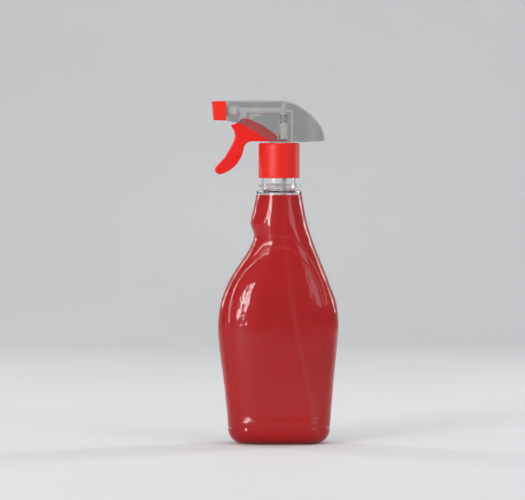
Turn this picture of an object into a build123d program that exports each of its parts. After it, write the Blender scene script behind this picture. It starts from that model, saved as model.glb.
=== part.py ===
"""Trigger spray bottle: a clear half-litre bottle with a screw-on pump head.

Millimetres. +Z is up and the origin is the middle of the bottle's base, on the neck axis.
The nozzle sprays towards -X, so -X is the front, +X the rear and Y the depth.

How the pump works: the trigger is a bell crank on a pin under the barrel. Its finger part swings
back and its rear fork lifts the pump cylinder along a fixed hollow stem, against the return
spring. The piston cup on the stem's foot pushes the liquid up the stem, past the outlet ball,
along the barrel and out through the swirl insert. The spring drives the cylinder down again,
which draws liquid up the dip tube past the inlet ball.
"""

import math
import os

from build123d import *

os.makedirs("parts", exist_ok=True)

# ---- bottle -------------------------------------------------------------------------------
WALL = 0.8                  # blow-moulded wall
FLOOR = 1.2                 # base thickness
OVAL_POINTS = 20            # points on each body section
HEEL_RADIUS = 8.5           # rounding between the side walls and the base
PUSH_UP = 3.5               # height of the hollow under the base
PUSH_UP_INSET = 12.0        # from the base outline to the hollow's rim
PUSH_UP_TAPER = 62.0        # slope of the hollow's side, from vertical
PANEL_DEPTH = 0.6           # each step of the recessed label panel
PANEL_FLOOR_Z = 18.0        # lower edge of the label panel
PANEL_HEIGHT = 132.0
PANEL_WIDTH = 78.0
PANEL_ARCH = [              # from the lower left corner over the top to the lower right one
    (-32.0, 21.0),
    (-38.6, 60.0),
    (-39.8, 90.0),
    (-36.0, 115.0),
    (-18.6, 139.4),
    (0.5, 150.0),
    (19.5, 139.4),
    (34.0, 115.0),
    (38.6, 90.0),
    (37.6, 60.0),
    (32.0, 21.0),
]
PANEL_FOOT = [(32.0, 21.0), (29.0, 18.0), (-29.0, 18.0), (-32.0, 21.0)]
LIQUID_GAP = 0.15           # from the wall to the liquid
LIQUID_LEVEL = 188.8        # surface of the liquid

# Body sections: height, reach to the front, reach to the rear, half depth, squareness.
# A squareness of 2 is an ellipse, and more is nearer to a rectangle.
SECTIONS = [
    (0.0, 38.4, 38.5, 22.8, 2.7),
    (16.0, 39.0, 39.1, 23.6, 2.7),
    (34.0, 40.6, 40.5, 24.6, 2.7),
    (52.0, 42.7, 42.0, 25.4, 2.7),
    (71.0, 45.2, 43.9, 26.0, 2.7),
    (89.0, 46.4, 45.2, 26.0, 2.7),
    (106.0, 44.4, 43.7, 25.2, 2.65),
    (121.5, 38.9, 38.3, 23.6, 2.55),
    (134.0, 31.6, 33.4, 21.8, 2.45),
    (146.5, 23.4, 28.3, 20.2, 2.35),
    (157.0, 19.2, 24.5, 19.2, 2.25),
    (167.5, 21.6, 21.3, 18.6, 2.15),
    (178.0, 19.4, 19.2, 17.9, 2.05),
    (189.0, 17.2, 17.2, 17.2, 2.0),
]
SHOULDER_Z = SECTIONS[-1][0]
SHOULDER_RADIUS = SECTIONS[-1][1]

# Neck finish for a 28 mm closure
NECK_RADIUS = 12.6
MOUTH_RADIUS = 10.8
NECK_FOOT_Z = 193.4
MOUTH_Z = 218.8
RING_RADIUS = 16.8          # support ring under the closure
RING_Z = 194.6
RING_THICK = 1.7
THREAD_PITCH = 25.4 / 6     # six turns to the inch
THREAD_TURNS = 1.5
THREAD_DEPTH = 1.1
THREAD_ROOT = 1.15          # half width at the root
THREAD_CREST = 0.55         # half width at the crest
THREAD_BITE = 0.4           # how far a thread is sunk into its wall
THREAD_FOOT_Z = 209.0       # middle of the bottle thread's lower end
SHOULDER_LAP = 0.05         # how far the turned shoulder covers the body's upper edge

# ---- fits ---------------------------------------------------------------------------------
RUB_GAP = 0.02              # between faces that rest on each other
SLIDE_GAP = 0.05            # round a seal that slides
PIN_GAP = 0.08              # round the trigger's pin
SIDE_GAP = 0.3              # between the trigger's bosses and the bracket

# ---- closure ------------------------------------------------------------------------------
CLOSURE_RADIUS = 15.55
CLOSURE_FOOT_Z = 201.3
CLOSURE_TOP_Z = 227.9
CLOSURE_BORE = 14.1
CLOSURE_HOLE = 9.9          # hole in the top, round the head's stub
CLOSURE_ROOF = 1.7
COLLAR_RADIUS = 11.6        # inner collar that presses on the base disc
CLOSURE_THREAD_DROP = 1.66  # from the bottle's thread down to the closure's

# ---- head: fixed parts --------------------------------------------------------------------
PUMP_X = 3.83               # axis of the stem, cylinder and dip tube
GASKET_RADIUS = 12.7
GASKET_BORE = 9.9
GASKET_THICK = 1.0
DISC_RADIUS = 12.8
DISC_THICK = 2.1
DISC_FOOT_Z = MOUTH_Z + GASKET_THICK
COLLAR_FOOT_Z = DISC_FOOT_Z + DISC_THICK + SLIDE_GAP
STUB_RADIUS = 9.6
STUB_BORE = 8.4
STUB_ROOF_Z = 225.2
WIPER_RADIUS = 4.5
WIPER_THICK = 1.8
PLATE_FOOT_Z = CLOSURE_TOP_Z + 0.1
PLATE_TOP_Z = PLATE_FOOT_Z + 0.8
PLATE_FRONT_X = -7.5
PLATE_REAR_X = 16.0
BARREL_Z = 252.2            # axis of the barrel and the nozzle
BARREL_RADIUS = 2.5
BARREL_BORE = 1.3
SOCKET_RADIUS = 4.3
SOCKET_BORE = 2.9
SOCKET_DEPTH = 12.0
SOCKET_REAR_X = -30.6
SOCKET_FRONT_X = -47.9
INSERT_LENGTH = 7.0
BEAD_X = -46.2              # bead that holds the nozzle on
BEAD_RADIUS = 4.7
BEAD_GAP = 0.1
SEAL_X = -42.6
SEAL_WIRE = 0.6             # half the seal ring's width
SEAL_GROOVE = 3.65
SEAL_HEIGHT = 0.9
SPINE_X = 9.1               # front face of the wall behind the pump
SPINE_THICK = 1.3
SPINE_HALF = 4.4
SHELF_Z = 249.6             # the spring's upper end
SHELF_RADIUS = 3.7
SHELF_THICK = 0.9
BOSS_RADIUS = 2.25
BOSS_FOOT_Z = 247.6
BOSS_TOP_Z = 255.0
STEM_RADIUS = 1.8
STEM_BORE = 1.0
STEM_FOOT_Z = 233.6
STEM_TOP_Z = 250.3
CUP_HEIGHT = 2.6
VALVE_BORE = 1.5
OUTLET_BALL = 1.2
PLUG_RADIUS = 2.1
PLUG_HEIGHT = 3.1
PLUG_DEPTH = 1.8
PIVOT_X = -27.0
PIVOT_Z = 243.6
PIN_RADIUS = 1.2
PIN_HALF = 6.6
LUG_RADIUS = 2.6
BRACKET_HALF = 3.4
BRACKET_WEB_HALF = 1.0
BRACKET_WEB = [(-29.6, 251.0), (-29.6, 244.5), (-22.5, 244.5), (-12.5, 249.8), (-12.5, 251.0)]

# Shroud: its roof line from the side and half its outline from above
SHROUD_FRONT_X = -39.7
SHROUD_REAR_X = 35.0
SHROUD_TOP_Z = 260.0
SHROUD_FOOT_Z = 224.0
SHROUD_WALL = 1.1
SHROUD_CORNER = 3.5
OUTLINE_SAMPLES = 10        # points along each of the shroud's outlines
SHROUD_ROOF = [
    (1.5, SHROUD_TOP_Z),
    (6.5, 259.4),
    (12.1, 257.4),
    (18.5, 253.9),
    (24.9, 248.9),
    (30.2, 243.0),
    (33.4, 237.7),
    (34.9, 232.2),
    (SHROUD_REAR_X, SHROUD_FOOT_Z),
]
SHROUD_PLAN = [
    (SHROUD_FRONT_X, 8.3),
    (-20.0, 9.4),
    (0.0, 10.4),
    (12.0, 10.4),
    (22.0, 9.3),
    (30.0, 6.4),
    (34.2, 2.6),
    (SHROUD_REAR_X, 0.0),
]
# The shroud's lower edge: everything inside this outline is cut away.
SHROUD_UNDER = [
    (-41.0, 244.5),
    (-38.8, 244.5),
    (-31.9, 243.3),
    (-28.2, 242.3),
    (-8.3, 230.3),
    (-7.5, 228.0),
    (8.3, 228.0),
    (36.0, 229.5),
    (36.0, 220.0),
    (-41.0, 220.0),
]

# ---- head: moving parts -------------------------------------------------------------------
CYLINDER_RADIUS = 4.05
CYLINDER_TOP_Z = 242.7
CYLINDER_FOOT_Z = 230.7     # underside of the ears that the fork lifts
EAR_HALF = 5.9
EAR_THICK = 1.5
EAR_FRONT = 2.4
EAR_REAR = 3.4
CHAMBER_RADIUS = 2.7
SPRING_SEAT_Z = 236.6
SPRING_POCKET = 3.45
TAIL_RADIUS = 3.4
TAIL_FOOT_Z = 206.0
CAGE_Z = 226.6              # top of the web that keeps the inlet ball in
CAGE_THICK = 0.8
INLET_BALL = 1.6
SEAT_TOP_Z = 221.9
SEAT_FOOT_Z = 218.9
SEAT_BORE = 1.1
TUBE_RADIUS = 1.9           # dip tube
TUBE_BORE = 1.35
TUBE_TOP_Z = 218.7
TUBE_LEAN = 0.2             # sideways run of the tube's end for each millimetre down
TUBE_BENDS = [
    (PUMP_X, 182.0),
    (5.0, 150.0),
    (7.8, 120.0),
    (11.4, 95.0),
    (17.0, 65.0),
    (21.3, 43.0),
    (24.9, 25.0),
    (27.9, 10.0),
]
CHANNEL_RADIUS = 4.2        # room in the liquid for the tube to rise
CHANNEL_LIFT = 6.5
SPRING_RADIUS = 2.85        # mean radius
SPRING_WIRE = 0.4           # wire radius
SPRING_TURNS = 6.5
SPRING_STEPS = 130
SPRING_EASE = 0.06          # how much closer the end coils are

# ---- trigger ------------------------------------------------------------------------------
TRIGGER_HALF = 6.9
TRIGGER_WALL = 1.3
TRIGGER_ROUND = 1.0           # rounding of the rims the finger touches
TRIGGER_ROUND_TOP = 238.0     # rims whose middle is above this stay square
RIB_THICK = 1.0
FORK_SLOT_X = -2.4
FORK_INNER = 3.75
FORK_FOOT_Z = 229.0
FORK_TOP_Z = 230.6
CROWN_RADIUS = 0.8
TRIGGER_FRONT = [
    (-36.7, 241.6),
    (-35.3, 239.1),
    (-33.8, 236.1),
    (-33.5, 233.3),
    (-34.1, 230.4),
    (-35.7, 226.5),
    (-38.6, 221.1),
    (-42.0, 216.0),
    (-45.4, 212.4),
    (-48.2, 209.2),
]
TRIGGER_TIP = [(-48.2, 209.2), (-48.5, 207.4), (-47.3, 205.2), (-44.9, 204.0)]
TRIGGER_REAR = [
    (-44.9, 204.0),
    (-40.6, 205.4),
    (-36.7, 207.6),
    (-32.8, 210.9),
    (-30.0, 214.8),
    (-28.0, 218.7),
    (-27.0, 222.1),
    (-26.1, 225.4),
    (-24.2, 227.8),
    (-21.2, FORK_FOOT_Z),
]
TRIGGER_ARM = [(-21.2, FORK_FOOT_Z), (-1.2, FORK_FOOT_Z), (-1.2, 232.3)]
TRIGGER_TOP = [
    (-1.2, 232.3),
    (-3.8, 235.2),
    (-8.0, 238.2),
    (-12.9, 241.4),
    (-19.7, 244.6),
    (-26.5, 246.2),
    (-31.0, 243.6),
    (-36.7, 241.6),
]
TRIGGER_HOLLOW = [
    (-46.4, 208.6),
    (-43.6, 211.9),
    (-40.5, 215.2),
    (-37.1, 220.8),
    (-34.1, 226.8),
    (-32.5, 231.0),
    (-32.0, 234.0),
    (-32.3, 237.0),
    (-33.4, 239.6),
    (-31.6, 240.6),
    (-30.4, 241.8),
    (-30.4, 252.0),
    (12.0, 252.0),
    (12.0, 230.3),
    (-21.0, 230.3),
    (-24.4, 229.1),
    (-26.7, 227.0),
    (-27.8, 224.0),
    (-28.2, 222.3),
    (-24.0, 221.0),
    (-24.0, 205.0),
    (-37.5, 203.5),
    (-40.8, 206.8),
    (-44.3, 205.5),
    (-46.0, 206.5),
]
TRIGGER_RIBS = [(-33.0, 221.5), (-37.5, 213.5)]

# ---- nozzle -------------------------------------------------------------------------------
NOZZLE_FRONT_X = -51.0
NOZZLE_REAR_X = -39.9
NOZZLE_SIDE = 14.8
NOZZLE_DRAFT = 0.2
NOZZLE_SLANT = 1.4          # how far the lower front edge stands back
NOZZLE_WALL = 1.3
NOZZLE_HOLLOW = 7.7
NOZZLE_BORE = 4.6
SLEEVE_RADIUS = 5.9
ORIFICE = 0.4
DISH_RADIUS = 4.0
DISH_DEPTH = 1.3

LOW = (Align.CENTER, Align.CENTER, Align.MIN)
HIGH = (Align.CENTER, Align.CENTER, Align.MAX)


def write(part, label):
    """Labels a finished piece and writes it as one STEP file."""
    part.label = label
    export_step(part, f"parts/{label}.step")


# ============================================================================================
# Bottle body: one oval outline that changes with height
# ============================================================================================


def oval_points(front, rear, half_depth, power, inset):
    """Points round one section, as a superellipse shrunk by inset."""
    middle = (rear - front) / 2
    a = (front + rear) / 2 - inset
    b = half_depth - inset
    points = []
    for i in range(OVAL_POINTS):
        t = 2 * math.pi * i / OVAL_POINTS
        c, s = math.cos(t), math.sin(t)
        x = a * math.copysign(abs(c) ** (2 / power), c)
        y = b * math.copysign(abs(s) ** (2 / power), s)
        points.append((middle + x, y))
    return points


def body_solid(inset, foot_z, top_z=SHOULDER_Z, heel=None):
    """The body between two heights, all its sections shrunk by inset."""
    with BuildPart() as body:
        for z, front, rear, half_depth, power in SECTIONS:
            level = foot_z if z == 0 else (top_z if z == SHOULDER_Z else z)
            with BuildSketch(Plane.XY.offset(level)):
                with BuildLine():
                    Spline(*oval_points(front, rear, half_depth, power, inset), periodic=True)
                make_face()
        loft()
        if heel:
            fillet(body.edges().group_by(Axis.Z)[0], heel)
    return body.part


def panel_outline(grow):
    """Arch-shaped face in the XZ plane: the outline of the label panel, grown by grow."""
    middle_z = PANEL_FLOOR_Z + PANEL_HEIGHT / 2
    wider, taller = 1 + 2 * grow / PANEL_WIDTH, 1 + 2 * grow / PANEL_HEIGHT

    def grown(points):
        return [(x * wider, middle_z + (z - middle_z) * taller) for x, z in points]

    with BuildSketch(Plane.XZ) as outline:
        with BuildLine():
            Spline(*grown(PANEL_ARCH))
            Polyline(*grown(PANEL_FOOT))
        make_face()
    return outline.sketch


def bottle_form(inset, foot_z, top_z=SHOULDER_Z, heel=None):
    """The body shrunk by inset, with the label panel sunk into both broad faces."""
    with BuildPart() as form:
        add(body_solid(inset, foot_z, top_z, heel))
        extrude(panel_outline(inset), amount=40, both=True, mode=Mode.SUBTRACT)
        add(body_solid(inset + PANEL_DEPTH, foot_z + 6.0, top_z - 6.0))
    return form.part


def base_hollow(shrink, height, lift):
    """The solid that hollows the base from below; shrink and lift make its upper side's partner."""
    z, front, rear, half_depth, power = SECTIONS[0]
    with BuildPart() as hollow:
        with BuildSketch(Plane.XY.offset(lift)):
            with BuildLine():
                Spline(*oval_points(front, rear, half_depth, power, PUSH_UP_INSET - shrink), periodic=True)
            make_face()
        with BuildSketch(Plane.XY.offset(lift + height)):
            with BuildLine():
                narrow = PUSH_UP_INSET - shrink + height * math.tan(math.radians(PUSH_UP_TAPER))
                Spline(*oval_points(front, rear, half_depth, power, narrow), periodic=True)
            make_face()
        loft(ruled=True)
    return hollow.part


def thread_solid(radius, outwards, foot_z):
    """A helical thread whose root lies on radius and which stands outwards (1) or inwards (-1)."""
    height = THREAD_PITCH * THREAD_TURNS
    with BuildPart() as thread:
        with BuildLine() as path:
            Helix(THREAD_PITCH, height, radius, center=(0, 0, foot_z))
        start = path.line @ 0
        with BuildSketch(Plane(origin=start, x_dir=(outwards, 0, 0), z_dir=path.line % 0)):
            Polygon(
                (-THREAD_BITE, -THREAD_ROOT),
                (0, -THREAD_ROOT),
                (THREAD_DEPTH, -THREAD_CREST),
                (THREAD_DEPTH, THREAD_CREST),
                (0, THREAD_ROOT),
                (-THREAD_BITE, THREAD_ROOT),
                align=None,
            )
        sweep(is_frenet=True)
    return thread.part


def tube_path(lift, drop):
    """The dip tube's centre line, lifted, and with its end run on down by drop."""
    bends = [(x, 0, z + lift) for x, z in TUBE_BENDS]
    end_x, _, end_z = bends[-1]
    with BuildLine() as path:
        Line((PUMP_X, 0, TUBE_TOP_Z), bends[0])
        Spline(*bends, tangents=[(0, 0, -1), (TUBE_LEAN, 0, -1)])
        if drop:
            Line((end_x, 0, end_z), (end_x + TUBE_LEAN * drop, 0, end_z - drop))
    return path.line



# ============================================================================================
# Bottle and liquid
# ============================================================================================

with BuildPart() as bottle:
    add(bottle_form(0.0, 0.0, heel=HEEL_RADIUS))
    with BuildPart(mode=Mode.PRIVATE) as cavity:
        add(bottle_form(WALL, FLOOR, heel=HEEL_RADIUS - WALL))
        add(base_hollow(FLOOR, PUSH_UP, FLOOR), mode=Mode.SUBTRACT)
    add(cavity.part, mode=Mode.SUBTRACT)
    add(base_hollow(0.0, PUSH_UP + 0.1, -0.1), mode=Mode.SUBTRACT)
    # shoulder, neck and support ring, turned round the neck's axis
    root = (SHOULDER_RADIUS + SHOULDER_LAP, SHOULDER_Z + 0.2)
    with BuildSketch(Plane.XZ):
        with BuildLine():
            Polyline(
                (SHOULDER_RADIUS - WALL - SHOULDER_LAP, SHOULDER_Z - 0.4),
                (SHOULDER_RADIUS + SHOULDER_LAP, SHOULDER_Z - 0.4),
                root,
            )
            TangentArc(root, (NECK_RADIUS, NECK_FOOT_Z), tangent=(-0.15, 1))
            Polyline(
                (NECK_RADIUS, NECK_FOOT_Z),
                (NECK_RADIUS, RING_Z),
                (RING_RADIUS - 0.6, RING_Z),
                (RING_RADIUS, RING_Z + 0.6),
                (RING_RADIUS, RING_Z + RING_THICK - 0.5),
                (RING_RADIUS - 0.5, RING_Z + RING_THICK),
                (NECK_RADIUS, RING_Z + RING_THICK),
                (NECK_RADIUS, MOUTH_Z - 0.5),
                (NECK_RADIUS - 0.5, MOUTH_Z),
                (MOUTH_RADIUS, MOUTH_Z),
                (MOUTH_RADIUS, NECK_FOOT_Z - 0.2),
                (SHOULDER_RADIUS - WALL - SHOULDER_LAP, SHOULDER_Z - 0.4),
            )
        make_face()
    revolve(axis=Axis.Z)
    add(thread_solid(NECK_RADIUS, 1, THREAD_FOOT_Z))
write(bottle.part, "bottle")

with BuildPart() as liquid:
    skin = WALL + LIQUID_GAP
    add(bottle_form(skin, FLOOR + LIQUID_GAP, LIQUID_LEVEL, heel=HEEL_RADIUS - skin))
    add(base_hollow(FLOOR, PUSH_UP, FLOOR + LIQUID_GAP), mode=Mode.SUBTRACT)
    with BuildPart(mode=Mode.PRIVATE) as channel:
        with BuildLine():
            add(tube_path(CHANNEL_LIFT, 9.0))
        with BuildSketch(Plane(origin=(PUMP_X, 0, TUBE_TOP_Z), z_dir=(0, 0, -1))):
            Circle(CHANNEL_RADIUS)
        sweep()
    add(channel.part, mode=Mode.SUBTRACT)
write(liquid.part, "liquid")

# ============================================================================================
# Closure and gasket
# ============================================================================================

with BuildPart() as closure:
    with BuildSketch(Plane.XZ):
        Polygon(
            (CLOSURE_HOLE, CLOSURE_TOP_Z),
            (CLOSURE_RADIUS, CLOSURE_TOP_Z),
            (CLOSURE_RADIUS, CLOSURE_FOOT_Z),
            (CLOSURE_BORE, CLOSURE_FOOT_Z),
            (CLOSURE_BORE, CLOSURE_TOP_Z - CLOSURE_ROOF),
            (COLLAR_RADIUS, CLOSURE_TOP_Z - CLOSURE_ROOF),
            (COLLAR_RADIUS, COLLAR_FOOT_Z),
            (CLOSURE_HOLE, COLLAR_FOOT_Z),
            align=None,
        )
    revolve(axis=Axis.Z)
    rims = closure.edges().filter_by(GeomType.CIRCLE).filter_by(lambda e: e.radius > CLOSURE_BORE + 1)
    fillet(rims.group_by(Axis.Z)[-1], 1.6)
    fillet(rims.group_by(Axis.Z)[0], 0.6)
    add(thread_solid(CLOSURE_BORE, -1, THREAD_FOOT_Z - CLOSURE_THREAD_DROP))
write(closure.part, "closure")

with BuildPart() as neck_gasket:
    with BuildSketch(Plane.XY.offset(MOUTH_Z + RUB_GAP)):
        Circle(GASKET_RADIUS)
        Circle(GASKET_BORE, mode=Mode.SUBTRACT)
    extrude(amount=GASKET_THICK - RUB_GAP)
write(neck_gasket.part, "neck_gasket")

# ============================================================================================
# Fixed parts of the head
# ============================================================================================


def moved_inwards(points, tangents, inset):
    """A smooth line through points, sampled again at a distance of inset to its right."""
    line = Spline(*points, tangents=tangents)
    samples = []
    for i in range(OUTLINE_SAMPLES + 1):
        place, along = line @ (i / OUTLINE_SAMPLES), line % (i / OUTLINE_SAMPLES)
        samples.append((place.X + along.Y * inset, place.Y - along.X * inset))
    return samples


def shroud_form(inset):
    """The shroud's outer form, shrunk by inset and reaching below its lower edge."""
    roof = moved_inwards(SHROUD_ROOF, [(1, 0), (0, -1)], inset)
    plan = moved_inwards(SHROUD_PLAN, [(1, 0.08), (0, -1)], inset)
    front_x = SHROUD_FRONT_X + inset
    plan[0] = (front_x, plan[0][1])
    with BuildPart() as form:
        with BuildSketch(Plane.XZ):
            with BuildLine():
                Polyline((front_x, SHROUD_FOOT_Z), (front_x, SHROUD_TOP_Z - inset), roof[0])
                Spline(*roof, tangents=[(1, 0), (0, -1)])
                Line(roof[-1], (front_x, SHROUD_FOOT_Z))
            make_face()
        extrude(amount=20, both=True)
        with BuildSketch(Plane.XY.offset(SHROUD_FOOT_Z - 10)):
            with BuildLine():
                Spline(*plan, tangents=[(1, 0.08), (0, -1)])
                Spline(*[(x, -y) for x, y in plan], tangents=[(1, -0.08), (0, 1)])
                Line(plan[0], (front_x, -plan[0][1]))
            make_face()
        extrude(amount=60, mode=Mode.INTERSECT)
        middles = [(edge, edge.center()) for edge in form.edges()]
        rims = [e for e, c in middles if c.Z > 245 and abs(c.Y) > 1 and c.X > -38]
        fillet(rims, SHROUD_CORNER - inset)
    return form.part


with BuildPart() as shroud:
    add(shroud_form(0.0))
    add(shroud_form(SHROUD_WALL), mode=Mode.SUBTRACT)
    with BuildSketch(Plane.XZ):
        Polygon(*SHROUD_UNDER, align=None)
    extrude(amount=20, both=True, mode=Mode.SUBTRACT)
    with Locations(Location((SHROUD_FRONT_X - 1, 0, BARREL_Z), (0, 90, 0))):
        Cylinder(SOCKET_RADIUS, 4, align=LOW, mode=Mode.SUBTRACT)
write(shroud.part, "shroud")

with BuildPart() as pump_body:
    # base disc, stub through the closure and the roof over it
    with BuildSketch(Plane.XY.offset(DISC_FOOT_Z)):
        Circle(DISC_RADIUS)
    extrude(amount=DISC_THICK)
    with BuildSketch(Plane.XY.offset(DISC_FOOT_Z)):
        Circle(STUB_RADIUS)
    extrude(amount=PLATE_FOOT_Z - DISC_FOOT_Z)
    with BuildSketch(Plane.XY.offset(DISC_FOOT_Z)):
        Circle(STUB_BORE)
    extrude(amount=STUB_ROOF_Z - DISC_FOOT_Z, mode=Mode.SUBTRACT)
    # plate inside the shroud's lower edge
    with BuildPart(mode=Mode.PRIVATE) as plate:
        add(shroud_form(SHROUD_WALL))
        with Locations(((PLATE_FRONT_X + PLATE_REAR_X) / 2, 0, PLATE_FOOT_Z)):
            Box(
                PLATE_REAR_X - PLATE_FRONT_X,
                40,
                PLATE_TOP_Z - PLATE_FOOT_Z,
                align=LOW,
                mode=Mode.INTERSECT,
            )
    add(plate.part)
    # rear wall and its bridge to the elbow
    with Locations((SPINE_X, 0, PLATE_FOOT_Z)):
        Box(
            SPINE_THICK,
            2 * SPINE_HALF,
            BARREL_Z + 0.8 - PLATE_FOOT_Z,
            align=(Align.MIN, Align.CENTER, Align.MIN),
        )
    with Locations((PUMP_X, 0, BARREL_Z)):
        Box(SPINE_X + SPINE_THICK - PUMP_X, 3.0, 1.6, align=(Align.MIN, Align.CENTER, Align.CENTER))
    # barrel, socket and elbow
    with Locations(Location((SOCKET_REAR_X - 0.5, 0, BARREL_Z), (0, 90, 0))):
        Cylinder(BARREL_RADIUS, PUMP_X - SOCKET_REAR_X + 0.5, align=LOW)
    with BuildSketch(Plane.XZ):
        with BuildLine():
            Polyline(
                (SOCKET_FRONT_X, BARREL_Z),
                (SOCKET_FRONT_X, BARREL_Z + SOCKET_RADIUS - 0.4),
                (SOCKET_FRONT_X + 0.4, BARREL_Z + SOCKET_RADIUS),
                (BEAD_X - 0.7, BARREL_Z + SOCKET_RADIUS),
                (BEAD_X - 0.2, BARREL_Z + BEAD_RADIUS),
                (BEAD_X + 0.2, BARREL_Z + BEAD_RADIUS),
                (BEAD_X + 0.7, BARREL_Z + SOCKET_RADIUS),
                (SEAL_X - SEAL_WIRE, BARREL_Z + SOCKET_RADIUS),
                (SEAL_X - SEAL_WIRE, BARREL_Z + SEAL_GROOVE),
                (SEAL_X + SEAL_WIRE, BARREL_Z + SEAL_GROOVE),
                (SEAL_X + SEAL_WIRE, BARREL_Z + SOCKET_RADIUS),
                (SOCKET_REAR_X - 1.2, BARREL_Z + SOCKET_RADIUS),
                (SOCKET_REAR_X, BARREL_Z + SOCKET_RADIUS - 1.2),
                (SOCKET_REAR_X, BARREL_Z),
                close=True,
            )
        make_face()
    revolve(axis=Axis((0, 0, BARREL_Z), (1, 0, 0)))
    with Locations((PUMP_X, 0, BOSS_FOOT_Z)):
        Cylinder(BOSS_RADIUS, BOSS_TOP_Z - BOSS_FOOT_Z, align=LOW)
    with Locations((PUMP_X, 0, SHELF_Z)):
        Cylinder(SHELF_RADIUS, SHELF_THICK, align=LOW)
    # bracket that carries the trigger's pin
    with BuildSketch(Plane.XZ):
        Polygon(*BRACKET_WEB, align=None)
    extrude(amount=BRACKET_WEB_HALF, both=True)
    with BuildSketch(Plane.XZ):
        with Locations((PIVOT_X, PIVOT_Z)):
            Circle(LUG_RADIUS)
        Polygon(
            (PIVOT_X - LUG_RADIUS, PIVOT_Z),
            (PIVOT_X + LUG_RADIUS, PIVOT_Z),
            (PIVOT_X + LUG_RADIUS, BARREL_Z - 1),
            (PIVOT_X - LUG_RADIUS, BARREL_Z - 1),
            align=None,
        )
    extrude(amount=BRACKET_HALF, both=True)
    # bores
    with Locations(Location((SOCKET_FRONT_X - 1, 0, BARREL_Z), (0, 90, 0))):
        Cylinder(
            SOCKET_BORE,
            SOCKET_DEPTH + 1,
            align=LOW,
            mode=Mode.SUBTRACT,
        )
        Cylinder(
            BARREL_BORE,
            PUMP_X - SOCKET_FRONT_X + 1,
            align=LOW,
            mode=Mode.SUBTRACT,
        )
    with Locations((PUMP_X, 0, STEM_TOP_Z)):
        Cylinder(VALVE_BORE, 8, align=LOW, mode=Mode.SUBTRACT)
        Cylinder(STEM_RADIUS, 8, align=HIGH, mode=Mode.SUBTRACT)
    with Locations((PUMP_X, 0, STUB_ROOF_Z - 1)):
        Cylinder(TAIL_RADIUS + 0.35, 6, align=LOW, mode=Mode.SUBTRACT)
        Cylinder(WIPER_RADIUS, WIPER_THICK + 1, align=LOW, mode=Mode.SUBTRACT)
    with Locations(Location((PIVOT_X, 0, PIVOT_Z), (90, 0, 0))):
        Cylinder(PIN_RADIUS, 4 * BRACKET_HALF, mode=Mode.SUBTRACT)
write(pump_body.part, "pump_body")

with BuildPart() as stem_seal:
    with BuildSketch(Plane.XY.offset(STUB_ROOF_Z)):
        with Locations((PUMP_X, 0)):
            Circle(WIPER_RADIUS)
            Circle(TAIL_RADIUS + SLIDE_GAP, mode=Mode.SUBTRACT)
    extrude(amount=WIPER_THICK)
write(stem_seal.part, "stem_seal")

with BuildPart() as discharge_stem:
    with BuildSketch(Plane.XZ):
        with BuildLine():
            Polyline(
                (PUMP_X + STEM_BORE, STEM_FOOT_Z),
                (PUMP_X + STEM_RADIUS + 0.3, STEM_FOOT_Z),
                (PUMP_X + STEM_RADIUS + 0.3, STEM_FOOT_Z + 0.5),
                (PUMP_X + STEM_RADIUS - 0.4, STEM_FOOT_Z + 0.5),
                (PUMP_X + STEM_RADIUS - 0.4, STEM_FOOT_Z + CUP_HEIGHT),
                (PUMP_X + STEM_RADIUS, STEM_FOOT_Z + CUP_HEIGHT),
                (PUMP_X + STEM_RADIUS, STEM_TOP_Z),
                (PUMP_X + STEM_BORE, STEM_TOP_Z),
                close=True,
            )
        make_face()
    revolve(axis=Axis((PUMP_X, 0, 0), (0, 0, 1)))
write(discharge_stem.part, "discharge_stem")

with BuildPart() as piston_cup:
    with BuildSketch(Plane.XZ):
        with BuildLine():
            foot, crown = STEM_FOOT_Z + 0.5, STEM_FOOT_Z + CUP_HEIGHT
            Polyline(
                (PUMP_X + STEM_RADIUS - 0.4, foot),
                (PUMP_X + CHAMBER_RADIUS - 0.4, foot),
                (PUMP_X + CHAMBER_RADIUS - SLIDE_GAP, foot - 0.3),
                (PUMP_X + CHAMBER_RADIUS - SLIDE_GAP, foot + 0.2),
                (PUMP_X + CHAMBER_RADIUS - 0.35, foot + 0.9),
                (PUMP_X + CHAMBER_RADIUS - 0.35, crown - 0.5),
                (PUMP_X + CHAMBER_RADIUS - SLIDE_GAP, crown - 0.2),
                (PUMP_X + CHAMBER_RADIUS - SLIDE_GAP, crown),
                (PUMP_X + STEM_RADIUS - 0.4, crown),
                close=True,
            )
        make_face()
    revolve(axis=Axis((PUMP_X, 0, 0), (0, 0, 1)))
write(piston_cup.part, "piston_cup")

with BuildPart() as valve_plug:
    with Locations((PUMP_X, 0, BOSS_TOP_Z)):
        Cylinder(PLUG_RADIUS, PLUG_HEIGHT, align=LOW)
    fillet(valve_plug.edges().group_by(Axis.Z)[-1], 0.5)
    with Locations((PUMP_X, 0, BOSS_TOP_Z)):
        Cylinder(VALVE_BORE, PLUG_DEPTH, align=HIGH)
write(valve_plug.part, "valve_plug")

with BuildPart() as swirl_insert:
    with Locations(Location((SOCKET_FRONT_X, 0, BARREL_Z), (0, 90, 0))):
        Cylinder(SOCKET_BORE, INSERT_LENGTH, align=LOW)
    with BuildSketch(Plane(origin=(SOCKET_FRONT_X, 0, BARREL_Z), x_dir=(0, 1, 0), z_dir=(1, 0, 0))):
        Circle(1.3)
        with PolarLocations(SOCKET_BORE, 3):
            Rectangle(2 * SOCKET_BORE - 1.2, 0.8)
    extrude(amount=0.6, mode=Mode.SUBTRACT)
    with BuildSketch(Plane(origin=(SOCKET_FRONT_X, 0, BARREL_Z), x_dir=(0, 1, 0), z_dir=(1, 0, 0))):
        with PolarLocations(SOCKET_BORE, 3):
            Rectangle(1.2, 1.4)
    extrude(amount=INSERT_LENGTH, mode=Mode.SUBTRACT)
write(swirl_insert.part, "swirl_insert")

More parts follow.
